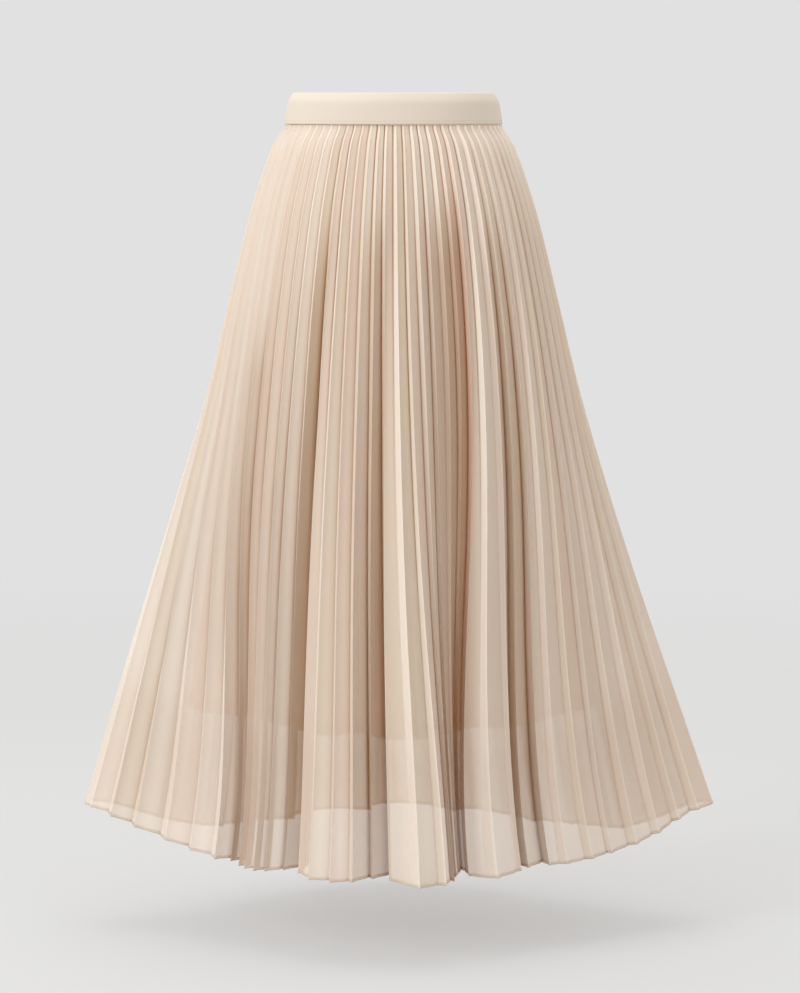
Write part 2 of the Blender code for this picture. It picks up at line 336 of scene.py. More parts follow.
# The studio. The floor fades into the backdrop, and the backdrop is what the camera sees while
# the cloth gets a slightly warmer and stronger light.
FLOOR_HEIGHT = -1.02
FLOOR_RADIUS = 4.0
FLOOR_FADES_FROM = 1.4
FLOOR_GONE_AT = 3.6
FLOOR_GLOW = 0.50
BACKDROP_LEVEL = 0.752
AMBIENT_LEVEL = 0.85
AMBIENT_COLOUR = (1.0, 0.978, 0.945)
LAMP_COLOUR = (0.94, 0.98, 1.0)
LAMPS_AIM = (0.0, 0.0, -0.45)
Lamp = namedtuple("Lamp", "name spot size power")
LAMPS = (
    Lamp("key", (-2.8, -2.1, 1.1), 1.4, 55.0),
    Lamp("top", (0.0, 0.0, 2.2), 2.4, 34.0),
)

# The camera, a long lens a little above the waist. Focal length and frame height are in pixels.
CAMERA_SPOT = (0.0, -4.6738, 0.0227)
CAMERA_LOOKS_DOWN = 6.135
CAMERA_TURNS_RIGHT = 0.099
FOCAL_PIXELS = 3784.3
FRAME_HEIGHT = 993
SENSOR = 36.0


def srgb(code):
    """Linear colour of an sRGB hex value."""
    values = []
    for start in (0, 2, 4):
        value = int(code[start:start + 2], 16) / 255
        values.append(value / 12.92 if value <= 0.04045 else ((value + 0.055) / 1.055) ** 2.4)
    return tuple(values)


class SkirtSizes(bpy.types.PropertyGroup):
    """Sizes of the skirt that can be changed."""
    pleats: IntProperty(
        name="Pleats a panel", description="Pressed pleats in the front panel, and in the back one",
        default=36, min=12, max=60,
    )
    chiffon_thickness: FloatProperty(
        name="Chiffon", description="Thickness of the sheer pleated cloth",
        default=0.0005, min=0.0002, max=0.002, unit="LENGTH", precision=4,
    )
    lining_thickness: FloatProperty(
        name="Lining", description="Thickness of the plain lining",
        default=0.0006, min=0.0002, max=0.002, unit="LENGTH", precision=4,
    )
    band_thickness: FloatProperty(
        name="Waistband", description="Thickness of the doubled and stiffened waistband",
        default=0.0034, min=0.001, max=0.006, unit="LENGTH", precision=4,
    )
    chiffon_hem: FloatProperty(
        name="Chiffon hem", description="Height of the narrow turned hem of the pleated cloth",
        default=0.0036, min=0.001, max=0.02, unit="LENGTH", precision=4,
    )
    lining_hem: FloatProperty(
        name="Lining hem", description="Height of the turned hem of the lining",
        default=0.012, min=0.004, max=0.03, unit="LENGTH", precision=4,
    )
    seam_width: FloatProperty(
        name="Side seam", description="Width of the enclosed side seams, inside the skirt",
        default=0.005, min=0.002, max=0.015, unit="LENGTH", precision=4,
    )
    stitch_pitch: FloatProperty(
        name="Stitch pitch", description="From one hem stitch to the next",
        default=0.003, min=0.002, max=0.006, unit="LENGTH", precision=4,
    )


class SkirtColours(bpy.types.PropertyGroup):
    """Colours of the skirt that can be changed."""
    chiffon_open: FloatVectorProperty(
        name="Chiffon, open", description="Colour of the pleated cloth where it lies open",
        subtype="COLOR", size=3, min=0.0, max=1.0, default=srgb("F6EADC"),
    )
    # The colour that painted shade darkens the chiffon towards in its closed folds, flute valleys and
    # pinched creases
    chiffon_painted_shade: FloatVectorProperty(
        name="Chiffon, deep", description="Colour of the pleated cloth deep in its folds",
        subtype="COLOR", size=3, min=0.0, max=1.0, default=srgb("B07A45"),
    )
    # The palest colour: the pressed outer edges, paler where the cloth doubles, and the highlight painted
    # beside them
    chiffon_crest: FloatVectorProperty(
        name="Chiffon, pressed edge", description="Colour along the outer pressed edges",
        subtype="COLOR", size=3, min=0.0, max=1.0, default=srgb("FFFBF4"),
    )
    lining: FloatVectorProperty(
        name="Lining", description="Colour of the lining",
        subtype="COLOR", size=3, min=0.0, max=1.0, default=srgb("D0A67C"),
    )
    waistband: FloatVectorProperty(
        name="Waistband", description="Colour of the waistband",
        subtype="COLOR", size=3, min=0.0, max=1.0, default=srgb("D3C7B9"),
    )
    thread: FloatVectorProperty(
        name="Thread", description="Colour of the sewing thread",
        subtype="COLOR", size=3, min=0.0, max=1.0, default=srgb("E2D0B8"),
    )


def smooth(share):
    """An even start and finish between 0 and 1."""
    share = min(max(share, 0.0), 1.0)
    return share * share * (3.0 - 2.0 * share)


def mix(low, high, share):
    """The value this share of the way from low to high."""
    return low + (high - low) * share


def along(table, key, column, value):
    """A column of a table where its key column has this value, as a smooth curve."""
    row = 0
    while row < len(table) - 2 and getattr(table[row + 1], key) < value:
        row += 1
    rows = [table[min(max(index, 0), len(table) - 1)] for index in range(row - 1, row + 3)]
    k0, k1, k2, k3 = (getattr(entry, key) for entry in rows)
    v0, v1, v2, v3 = (getattr(entry, column) for entry in rows)
    step = k2 - k1
    share = (value - k1) / step
    slope_in = (v2 - v0) / (k2 - k0) * step
    slope_out = (v3 - v1) / (k3 - k1) * step
    square, cube = share * share, share * share * share
    return (
        (2 * cube - 3 * square + 1) * v1
        + (cube - 2 * square + share) * slope_in
        + (3 * square - 2 * cube) * v2
        + (cube - square) * slope_out
    )


def ring_point(place, drop, half_width, half_depth, table=FRONT_SPREAD, bell_share=PANEL_BELL):
    """A point of the plain section: an oval at the waist, a bell with wide wings at the hem."""
    bell = smooth(drop / BELL_FULL_DROP) ** BELL_LATE_POWER
    roundness = 0.5 * (half_width - half_depth) / (half_width + half_depth)
    angle = place * math.pi / 2 - roundness * math.sin(place * math.pi)
    spread = along(table, "crease", "across", (place + 1.0) * CREASES / 2)
    across = mix(math.sin(angle), spread, bell)
    flank = max(1 - across * across, 0.0) ** (OVAL_POWER + BELL_POWER * bell)
    crown = math.cos(across * math.pi / 2) ** CROWN_POWER
    depth = (1 - bell_share * bell) * flank + bell_share * bell * crown
    return half_width * across, half_depth * depth


def ring_normal(place, drop, half_width, half_depth, table=FRONT_SPREAD):
    """The outward direction of the plain section, in plan."""
    x0, y0 = ring_point(max(place - TANGENT_STEP, -1.0), drop, half_width, half_depth, table)
    x1, y1 = ring_point(min(place + TANGENT_STEP, 1.0), drop, half_width, half_depth, table)
    length = math.hypot(x1 - x0, y1 - y0)
    return (y0 - y1) / length, (x1 - x0) / length


@functools.lru_cache(maxsize=None)
def flute_columns(flutes, place):
    """The flutes' columns at this place, each edge and valley an even curve to the next."""
    crease = (place + 1.0) * CREASES / 2
    row = 0
    while row < len(flutes) - 2 and flutes[row + 1].crease < crease:
        row += 1
    left, right = flutes[row], flutes[row + 1]
    across = smooth((crease - left.crease) / (right.crease - left.crease))
    return Flute(crease, *(mix(low, high, across) for low, high in zip(left[1:], right[1:])))


def flute_offsets(flutes, place, share):
    """How far the cloth stands out, how far it is pushed to +X, and the pleats' depth left."""
    flute = flute_columns(flutes, place)
    grown = max(share - flute.begins, 0.0) / (1 - flute.begins)
    return flute.depth * grown, flute.shift * grown, mix(1.0, flute.pleat, min(2.0 * grown, 1.0))


def panel_length(place):
    """Length of the pleated cloth, shorter towards the side seams as it is worn."""
    return CENTRE_LENGTH - (CENTRE_LENGTH - SIDE_LENGTH) * smooth(abs(place)) ** HEM_RISE_POWER


def pleat_depth(pitch, share, place):
    """Depth left in a pleat when its cloth is spread over this pitch."""
    cloth = mix(PLEAT_CLOTH_AT_WAIST, PLEAT_CLOTH_AT_HEM, share)
    deep = 0.5 * math.sqrt(max(cloth * cloth - pitch * pitch, 0.0))
    least = mix(STITCHED_PLEAT_DEPTH, LEAST_PLEAT_DEPTH_AT_HEM, share)
    flat = smooth((abs(place) - PUCKERED_PLACE) / FLATTER_BEYOND)
    opened = smooth(share / mix(PLEAT_OPENS_AT, PLEAT_OPENS_AT_SIDES, flat))
    return mix(STITCHED_PLEAT_DEPTH, max(deep, least), opened)


# A pressed crease: its place across the panel, from -1 to 1, its depth against the others, how far
# and from where it sways, and how tightly it is pinched near the waist
Crease = namedtuple("Crease", "place depth_factor sway phase pinch")


def panel_creases(pleats, seed):
    """The pressed creases of a panel, inner and outer in turn, a little uneven."""
    chance = random.Random(seed)
    half_pleat = 1.0 / pleats
    creases = []
    for index in range(2 * pleats + 1):
        place = -1.0 + index * half_pleat
        shift = chance.uniform(-PLACE_UNEVEN, PLACE_UNEVEN)
        factor = 1.0 + chance.uniform(-DEPTH_UNEVEN, DEPTH_UNEVEN)
        sway = chance.uniform(LEAST_SWAY, 1.0) * SWAY * half_pleat
        phase = chance.uniform(0.0, 2.0 * math.pi)
        if 0 < index < 2 * pleats:
            lean = mix(CREST_LEAN_AT_LEFT, CREST_LEAN_AT_RIGHT, (place + 1.0) / 2) if index % 2 else 0.0
            place += (shift - lean) * half_pleat
        else:
            sway = 0.0
        pinch = 0.0 if index % 2 else chance.uniform(0.0, 1.0) ** PINCH_POWER
        creases.append(Crease(place, factor, sway, phase, pinch))
    return creases


FoldPoint = namedtuple("FoldPoint", "spot valley")


def fold_point(index, creases, share, side, pleats):
    """Where a crease stands at this share of the length, and how much shade is painted there from its
    flute.
    """
    half = HALVES[side]
    crease = creases[index]
    half_pleat = 1.0 / pleats
    place = crease.place + crease.sway * share * math.sin(crease.phase + SWAY_TURN * share)
    place = min(max(place, -1.0), 1.0)
    drop = share * panel_length(place)
    half_width = along(LEVELS, "drop", "half_width", drop)
    half_depth = along(LEVELS, "drop", half.depth, drop) - SEAM_STRIP

    def fluted(at):
        x, y = ring_point(at, drop, half_width, half_depth, half.spread)
        across, out = ring_normal(at, drop, half_width, half_depth, half.spread)
        height, shift, _ = flute_offsets(half.flutes, at, share)
        return x + FLUTE_SIDEWAYS * height * across + shift, y + height * out

    x0, y0 = fluted(max(place - half_pleat, -1.0))
    x1, y1 = fluted(min(place + half_pleat, 1.0))
    pitch = math.hypot(x1 - x0, y1 - y0)
    x, y = fluted(place)
    stand, _, left_over = flute_offsets(half.flutes, place, share)
    if 0 < index < len(creases) - 1:
        height = crease.depth_factor * left_over * pleat_depth(pitch, share, place)
        height *= 0.5 if index % 2 else -0.5
        across, out = ring_normal(place, drop, half_width, half_depth, half.spread)
        x += height * across
        y += height * out
    # Painted shade in the flute's valley, growing down the cloth, and a slight darkening near the hem
    flute = flute_columns(half.flutes, place)
    valley = flute.tone * smooth((share - 0.5 * flute.begins) / VALLEY_GROWS_OVER)
    valley *= 1.0 - VALLEY_PALES_BY * smooth((share - VALLEY_PALES_FROM) / (1.0 - VALLEY_PALES_FROM))
    valley += HEM_TONE * smooth((share - VALLEY_PALES_FROM) / HEM_TONES_OVER)
    dip = HEM_DIP * stand * share + CREST_DROP * share * share * (1.0 if index % 2 else -1.0)
    spot = Vector((
        x + along(LEVELS, "drop", "lean", drop),
        side * (y + SEAM_STRIP),
        -BAND_HEIGHT / 2 - FOOT_GAP - drop - dip,
    ))
    return FoldPoint(spot, valley)


def panel_shares(hem_height):
    """Heights of the rows, close together near the waist, the last one the depth of the hem."""
    shares = [(row / PANEL_ROWS) ** ROW_CROWDING for row in range(PANEL_ROWS)]
    fold = 1.0 - hem_height / CENTRE_LENGTH
    shares = [share * fold for share in shares]
    return shares + [fold, 1.0]


def reach_seams(row, side):
    """Carries a row of points on to the side seams, where the front and back cloth meet."""
    left, right = (Vector((edge.x, side * SEAM_MEETS, edge.z)) for edge in (row[0], row[-1]))
    return [left, *row, right]


# A panel's points, and for each one how far it is a pressed edge or carries a painted highlight,
# how much shade is painted there from its flute and its pinched crease, its tint, and whether the
# cloth of its face is folded back
Panel = namedtuple("Panel", "rows crests valleys tints layered")


@functools.lru_cache(maxsize=4)
def pleated_panel(side, pleats, hem_height):
    """Every point of a pleated panel row by row, and what its cloth shows at each one."""
    seed = HALVES[side].seed
    creases = panel_creases(pleats, seed)
    chance = random.Random(seed + 1)
    face_tints = [chance.uniform(-1.0, 1.0) for _ in range(2 * pleats)]
    rows = []
    valleys = []
    for share in panel_shares(hem_height):
        folds = [fold_point(index, creases, share, side, pleats) for index in range(len(creases))]
        row = []
        valley_row = []
        for index in range(len(folds) - 1):
            start, end = folds[index].spot, folds[index + 1].spot
            run = end - start
            out = Vector((run.y, -run.x, 0.0)) * side
            bow = FACE_BOW * (1.0 if index % 2 else -1.0)
            # Painted shade pinched into the inner crease, fading down the cloth and towards the sides, and
            # in the puckers under the band
            outer = abs(creases[index].place)
            fade = PINCH_STRENGTH * (1.0 - smooth(share / PINCH_FADES_BY))
            fade *= 1.0 - PINCH_LOST_AT_SIDES * smooth((outer - FLATTER_BEYOND) / FLATTER_BEYOND)
            pucker = PUCKER_STRENGTH * (1.0 - smooth(share / PUCKER_REACH))
            pucker *= 1.0 - smooth((outer - 0.5 * PUCKERED_PLACE) / PUCKERED_PLACE)
            for at in FACE_COLUMNS:
                row.append(start + run * at + out * bow * math.sin(2.0 * math.pi * at))
                valley = mix(folds[index].valley, folds[index + 1].valley, at)
                inner, away = (creases[index + 1], 1.0 - at) if index % 2 else (creases[index], at)
                pinched = (inner.pinch * fade + pucker) * (1.0 - smooth((away - PINCH_FLAT) / PINCH_WIDTH))
                valley_row.append(max(valley, pinched))
        row.append(folds[-1].spot)
        rows.append(reach_seams(row, side))
        valleys.append([0.0, *valley_row, 0.0, 0.0])
    crests = [0.0]
    tints = [0.0]
    layered = [0]
    # Outer pressed edges are paler, and a painted highlight spreads from each over the face rising to it,
    # which turns to the key light
    for index, tint in enumerate(face_tints):
        rises = 1 - index % 2
        crests += [-1.0 if rises else 1.0] + [highlight * rises for highlight in CREST_HIGHLIGHT[1:]]
        tints += [tint] * len(FACE_COLUMNS)
        layered += [rises] * len(FACE_COLUMNS)
    crests += [0.0, 0.0]
    tints += [0.0, 0.0]
    layered += [0, 0]
    return Panel(rows, crests, valleys, tints, layered)


def fold_shade(rows, side):
    """How closed in by the cloth each point lies, from 0 in the open to 1."""
    columns = len(rows[0])
    points = [point for row in rows for point in row]
    faces = []
    for row in range(len(rows) - 1):
        for column in range(columns - 1):
            here = row * columns + column
            faces.append((here, here + 1, here + columns + 1, here + columns))
    cloth = BVHTree.FromPolygons(points, faces)
    looks = [math.radians(turn) for turn in SHADE_TURNS]
    total = sum(math.cos(turn) for turn in looks)
    marks = {}
    for row in [*range(0, len(rows) - 1, SHADE_ROW_STEP), len(rows) - 1]:
        line = []
        for column in range(columns):
            before = rows[row][max(column - 1, 0)]
            after = rows[row][min(column + 1, columns - 1)]
            run = (after - before).normalized()
            out = Vector((run.y, -run.x, 0.0)) * (-side)
            start = rows[row][column] + out * SHADE_LIFT
            closed = 0.0
            for turn in looks:
                way = out * math.cos(turn) + run * math.sin(turn)
                _, _, _, far = cloth.ray_cast(start, way, SHADE_REACH)
                if far is not None:
                    closed += math.cos(turn) * (1.0 - far / SHADE_REACH)
            line.append(closed / total)
        marks[row] = line
    known = sorted(marks)
    shade = []
    for row in range(len(rows)):
        low = max(mark for mark in known if mark <= row)
        high = min(mark for mark in known if mark >= row)
        share = (row - low) / (high - low) if high > low else 0.0
        shade.append([mix(a, b, share) for a, b in zip(marks[low], marks[high])])
    return shade


def lining_point(place, share, side):
    """A point of the plain lining, which hangs in a few soft upright folds."""
    length = LINING_LENGTH - (LINING_LENGTH - LINING_SIDE_LENGTH) * place * place
    drop = share * length
    inset = along(LEVELS, "drop", "lining_inset", drop)
    ease = LINING_EASE * smooth(drop / LINING_EASES_BY)
    half_width = along(LEVELS, "drop", "half_width", drop) - inset - ease
    depth = along(LEVELS, "drop", HALVES[side].depth, drop)
    half_depth = depth - SEAM_STRIP - LINING_DEPTH_SHARE * inset - ease
    x, y = ring_point(place, drop, half_width, half_depth, bell_share=LINING_BELL)
    across, out = ring_normal(place, drop, half_width, half_depth)
    wave = sum(
        fold.depth * math.sin(math.pi * fold.count * place + fold.phase + 0.5 * side)
        for fold in LINING_FOLDS
    )
    grown = smooth((share - LINING_FOLD_STARTS) / (1.0 - LINING_FOLD_STARTS)) * (1.0 - place ** 8)
    x += wave * grown * across
    y += wave * grown * out
    height = -BAND_HEIGHT / 2 - FOOT_GAP - drop - LINING_FOLD_DIP * wave * grown
    return Vector((x, side * (y + SEAM_STRIP), height))


def lining_rows(side, hem_height):
    """Every point of a lining panel, row by row, the last row the depth of its hem."""
    fold = 1.0 - hem_height / LINING_LENGTH
    shares = [fold * row / LINING_ROWS for row in range(LINING_ROWS + 1)] + [1.0]
    rows = []
    for share in shares:
        row = [
            lining_point(-1.0 + 2.0 * column / LINING_COLUMNS, share, side)
            for column in range(LINING_COLUMNS + 1)
        ]
        rows.append(reach_seams(row, side))
    return rows


def band_profile(thickness):
    """Out and up around the waistband's section: outer face, rolled top, inner face, foot."""
    radius = thickness / 2
    straight = BAND_HEIGHT - thickness
    groove_rows = 2 * FOOT_GROOVE_STEPS
    heights = [FOOT_GROOVE_HEIGHT * step / FOOT_GROOVE_STEPS for step in range(groove_rows + 1)]
    heights += [
        2 * FOOT_GROOVE_HEIGHT + (straight - 2 * FOOT_GROOVE_HEIGHT) * step / BAND_SIDE_ROWS
        for step in range(1, BAND_SIDE_ROWS + 1)
    ]
    around = []
    for up in heights:
        groove = BAND_GROOVE if abs(up - FOOT_GROOVE_HEIGHT) < FOOT_GROOVE_HEIGHT / groove_rows else 0.0
        around.append((radius - groove, -straight / 2 + up))
    for step in range(1, BAND_EDGE_STEPS):
        turn = math.pi * step / BAND_EDGE_STEPS
        around.append((radius * math.cos(turn), straight / 2 + radius * math.sin(turn)))
    for step in range(BAND_SIDE_ROWS + 1):
        around.append((-radius, straight / 2 - straight * step / BAND_SIDE_ROWS))
    for step in range(1, BAND_EDGE_STEPS):
        turn = math.pi + math.pi * step / BAND_EDGE_STEPS
        around.append((radius * math.cos(turn), -straight / 2 + radius * math.sin(turn)))
    around.append(around[0])
    return around


def band_point(place, side, out, up):
    """A point of the waistband: place round its half, out from the middle of its wall, and up."""
    share = up / BAND_HEIGHT + 0.5
    half_width = mix(BAND_FOOT_HALF_WIDTH, BAND_TOP_HALF_WIDTH, share)
    half_depth = mix(BAND_FOOT_HALF_DEPTH, BAND_TOP_HALF_DEPTH, share)
    x, y = ring_point(place, 0.0, half_width, half_depth)
    across, facing = ring_normal(place, 0.0, half_width, half_depth)
    if out > 0.0 and abs(place) > 1.0 - BAND_SEAM_PLACE / 2:
        out -= BAND_GROOVE
    out += BAND_WAVE * math.sin(BAND_WAVE_TURN * place + 2.0 * side) * math.sin(math.pi * share)
    out -= BAND_ROLL * smooth((share - BAND_ROLLS_FROM) / (1.0 - BAND_ROLLS_FROM)) ** 2
    return Vector((x + out * across, side * (y + out * facing), up))


def band_rows(thickness):
    """The waistband all round, one row for each step round its section."""
    places = [-1.0, -1.0 + BAND_SEAM_PLACE]
    inner = 2.0 - 2.0 * BAND_SEAM_PLACE
    places += [-1.0 + BAND_SEAM_PLACE + inner * step / BAND_COLUMNS for step in range(1, BAND_COLUMNS)]
    places.append(1.0 - BAND_SEAM_PLACE)
    around = [(place, FRONT) for place in places] + [(-place, BACK) for place in places]
    around.append(around[0])
    return [
        [band_point(place, side, out, up) for place, side in around]
        for out, up in band_profile(thickness)
    ]


def place_mesh(name, made):
    """Turns a finished shape into an object of the scene."""
    mesh = bpy.data.meshes.new(name)
    made.to_mesh(mesh)
    made.free()
    piece = bpy.data.objects.new(name, mesh)
    bpy.context.scene.collection.objects.link(piece)
    return piece


def grid_piece(name, rows, side, across, down, values=None, closed=False, layered=None):
    """A sheet through rows of points, its UV in metres of cloth, and its point values."""
    last_row, last_column = len(rows) - 1, len(rows[0]) - 1
    made = bmesh.new()
    made.loops.layers.uv.new("cloth")
    bmesh.ops.create_grid(made, x_segments=last_column, y_segments=last_row, size=0.5, calc_uvs=True)
    layers = {key: made.verts.layers.float.new(key) for key in (values or {})}
    where = {}
    for vert in made.verts:
        column = round((vert.co.x + 0.5) * last_column)
        row = round((0.5 - vert.co.y) * last_row)
        where[vert.index] = (row, column)
    cloth = made.loops.layers.uv["cloth"]
    for face in made.faces:
        face.smooth = True
        for loop in face.loops:
            row, column = where[loop.vert.index]
            loop[cloth].uv = (column / last_column * across, -row / last_row * down)
        if layered:
            face.material_index = layered[min(where[vert.index][1] for vert in face.verts)]
    for vert in made.verts:
        row, column = where[vert.index]
        vert.co = rows[row][column]
        for key, layer in layers.items():
            vert[layer] = values[key][row][column]
    if values and "crest" in values:
        crests = values["crest"][0]
        for edge in made.edges:
            first, second = (where[vert.index] for vert in edge.verts)
            edge.smooth = not (first[1] == second[1] and abs(crests[first[1]]) == 1.0)
    if closed:
        bmesh.ops.remove_doubles(made, verts=made.verts, dist=0.00001)
        bmesh.ops.recalc_face_normals(made, faces=made.faces)
    elif side == BACK:
        bmesh.ops.reverse_faces(made, faces=made.faces)
    return place_mesh(name, made)


def thicken(piece, thickness):
    """Gives a sheet its thickness, half on each side."""
    wall = piece.modifiers.new("wall", "SOLIDIFY")
    wall.thickness = thickness
    wall.offset = 0.0


def stitch_line(name, line, side, pitch, thread):
    """Stitches along a line of points: short rounded threads that lie on the cloth."""
    made = bmesh.new()
    walked = 0.0
    due = 0.5 * pitch
    for start, end in zip(line, line[1:]):
        run = end - start
        length = run.length
        while length > 0.0 and due <= walked + length:
            spot = start + run * ((due - walked) / length)
            way = run.normalized()
            out = Vector((way.y, -way.x, 0.0)).normalized() * (-side)
            up = way.cross(out)
            turn = Matrix((way, out, up)).transposed().to_4x4()
            size = Matrix.Diagonal((STITCH_HALF_LENGTH * pitch, thread, STITCH_FLATTENED * thread, 1.0))
            place = Matrix.Translation(spot + out * STITCH_LIFT) @ turn @ size
            bmesh.ops.create_icosphere(made, subdivisions=1, radius=1.0, matrix=place)
            due += pitch
        walked += length
    bmesh.ops.recalc_face_normals(made, faces=made.faces)
    for face in made.faces:
        face.smooth = True
    return place_mesh(name, made)


def add_node(tree, kind, settings=None, links=None):
    """Adds one node with its settings and its incoming links, each by name or by socket number."""
    node = tree.nodes.new(kind)
    for name, value in (settings or {}).items():
        if isinstance(name, int) or name in node.inputs:
            node.inputs[name].default_value = value
        else:
            setattr(node, name, value)
    for name, source in (links or {}).items():
        tree.links.new(source, node.inputs[name])
    return node


def mix_colours(tree, factor, low, high):
    """Blends two colours, each a fixed colour or another node's socket."""
    node = add_node(tree, "ShaderNodeMix", {"data_type": "RGBA"})
    colours = [socket for socket in node.inputs if socket.type == "RGBA"]
    for socket, colour in zip(colours, (low, high)):
        if isinstance(colour, bpy.types.NodeSocket):
            tree.links.new(colour, socket)
        else:
            socket.default_value = (*colour, 1.0)
    if isinstance(factor, bpy.types.NodeSocket):
        tree.links.new(factor, node.inputs["Factor"])
    else:
        node.inputs["Factor"].default_value = factor
    return next(socket for socket in node.outputs if socket.type == "RGBA")


def new_material(name):
    """An empty material with its output and one Principled shader."""
    made = bpy.data.materials.new(name)
    made.use_nodes = True
    tree = made.node_tree
    return made, tree, tree.nodes["Principled BSDF"]


def weave_bump(tree, coordinate, thread_mm, strength, height_mm):
    """Fine crossing threads, this far apart, as a bump."""
    waves = []
    for direction in ("X", "Y"):
        waves.append(add_node(
            tree, "ShaderNodeTexWave",
            {"wave_type": "BANDS", "bands_direction": direction, "Scale": 1000.0 / thread_mm / 20.0,
             "Distortion": 1.2, "Detail": 1.0},
            {"Vector": coordinate},
        ).outputs["Fac"])
    crossed = add_node(tree, "ShaderNodeMath", {"operation": "MULTIPLY"}, {0: waves[0], 1: waves[1]})
    bump = add_node(
        tree, "ShaderNodeBump", {"Strength": strength, "Distance": height_mm / 1000.0},
        {"Height": crossed.outputs["Value"]},
    )
    return bump.outputs["Normal"]


def mottled(tree, place, noise, edge, most, colour, patch):
    """A colour with soft patches of another one, where this noise is high, up to this share."""
    amount = add_node(
        tree, "ShaderNodeMapRange",
        {"From Min": edge, "From Max": 1.0 - edge, "To Min": 0.0, "To Max": most},
        {"Value": add_node(tree, "ShaderNodeTexNoise", noise, {"Vector": place}).outputs["Fac"]},
    ).outputs["Result"]
    return mix_colours(tree, amount, colour, srgb(patch))


def pleated_chiffon(colours, name, opacity):
    """Sheer polyester chiffon, permanently pleated: matt and soft, pale where it lies open, palest
    along the pressed outer edges and in the highlight painted beside them, and warmer and darker
    where shade is painted into its closed folds, flutes and pinched creases."""
    made, tree, shader = new_material(name)
    crest, shade, valley, tint = (
        add_node(tree, "ShaderNodeAttribute", {"attribute_name": value}).outputs["Fac"]
        for value in ("crest", "fold_shade", "valley", "tint")
    )
    # Painted shade: the colour darkens towards the shade colour where the cloth is closed in, and in the
    # valleys of flutes and pinched creases
    closed = add_node(
        tree, "ShaderNodeMapRange",
        {"From Min": SHADE_STARTS, "From Max": SHADE_FULL, "interpolation_type": "SMOOTHSTEP"},
        {"Value": shade},
    ).outputs["Result"]
    hollow = add_node(
        tree, "ShaderNodeMath", {"operation": "MULTIPLY", 1: VALLEY_SHADE}, {0: valley},
    ).outputs["Value"]
    deep = add_node(
        tree, "ShaderNodeMath", {"operation": "MULTIPLY_ADD", "use_clamp": True, 1: CLOSED_SHADE},
        {0: closed, 2: hollow},
    ).outputs["Value"]
    toned = mix_colours(tree, deep, colours.chiffon_open, colours.chiffon_painted_shade)
    for start, end, code in ((0.1, 1.0, PINK_TINT), (-0.1, -1.0, STRAW_TINT)):
        share = add_node(
            tree, "ShaderNodeMapRange",
            {"From Min": start, "From Max": end, "To Min": 0.0, "To Max": TINT_STRENGTH},
            {"Value": tint},
        ).outputs["Result"]
        toned = mix_colours(tree, share, toned, srgb(code))
    # Paler pressed outer edges and the painted highlight beside them, held back where shade is painted
    edge = add_node(
        tree, "ShaderNodeMapRange",
        {"From Min": 0.35, "From Max": 1.0, "To Min": 0.0, "To Max": CREST_STRENGTH},
        {"Value": crest},
    ).outputs["Result"]
    free = add_node(
        tree, "ShaderNodeMapRange", {"From Min": 0.05, "From Max": 0.60, "To Min": 1.0, "To Max": 0.15},
        {"Value": valley},
    ).outputs["Result"]
    lit = add_node(
        tree, "ShaderNodeMath", {"operation": "MULTIPLY"}, {0: edge, 1: free},
    ).outputs["Value"]
    toned = mix_colours(tree, lit, toned, colours.chiffon_crest)
    tree.links.new(toned, shader.inputs["Base Color"])
    cloth = add_node(tree, "ShaderNodeUVMap", {"uv_map": "cloth"}).outputs["UV"]
    tree.links.new(weave_bump(tree, cloth, CHIFFON_WEAVE, 0.25, 0.15), shader.inputs["Normal"])
    shader.inputs["Roughness"].default_value = 0.78
    shader.inputs["Alpha"].default_value = opacity
    shader.inputs["Sheen Weight"].default_value = 0.15
    shader.inputs["Sheen Roughness"].default_value = 0.5
    return made


def lining_satin(colours):
    """Plain woven polyester lining: smooth, opaque and warm, with a faint soft gloss."""
    made, tree, shader = new_material("polyester_lining_cloth")
    cloth = add_node(tree, "ShaderNodeUVMap", {"uv_map": "cloth"}).outputs["UV"]
    # 22 to the metre: slubs of about 45 mm, as broad as they show through the chiffon
    slub = {"Scale": 22.0, "Detail": 3.0, "Roughness": 0.6}
    base = mottled(tree, cloth, slub, 0.3, 0.12, colours.lining, "A97F5B")
    tree.links.new(base, shader.inputs["Base Color"])
    tree.links.new(weave_bump(tree, cloth, LINING_WEAVE, 0.2, 0.1), shader.inputs["Normal"])
    shader.inputs["Roughness"].default_value = 0.55
    shader.inputs["Sheen Weight"].default_value = 0.1
    return made


def waistband_crepe(colours):
    """Smooth doubled crepe: matt, with a very fine pebbled grain."""
    made, tree, shader = new_material("ivory_crepe")
    place = add_node(tree, "ShaderNodeTexCoord").outputs["Object"]
    # 900 to the metre: pebbles of about 1.1 mm, drawn coarser than the real ones so that they
    # show. 30 to the metre: the faint clouds that pressing leaves, about 33 mm.
    grain = add_node(
        tree, "ShaderNodeTexNoise", {"Scale": 900.0, "Detail": 2.0, "Roughness": 0.6}, {"Vector": place},
    ).outputs["Fac"]
    clouds = {"Scale": 30.0, "Detail": 2.0}
    base = mottled(tree, place, clouds, 0.35, 0.10, colours.waistband, "D6C4AC")
    tree.links.new(base, shader.inputs["Base Color"])
    bump = add_node(
        tree, "ShaderNodeBump", {"Strength": 0.35, "Distance": 0.0002}, {"Height": grain},
    ).outputs["Normal"]
    tree.links.new(bump, shader.inputs["Normal"])
    shader.inputs["Roughness"].default_value = 0.8
    shader.inputs["Sheen Weight"].default_value = 0.1
    return made


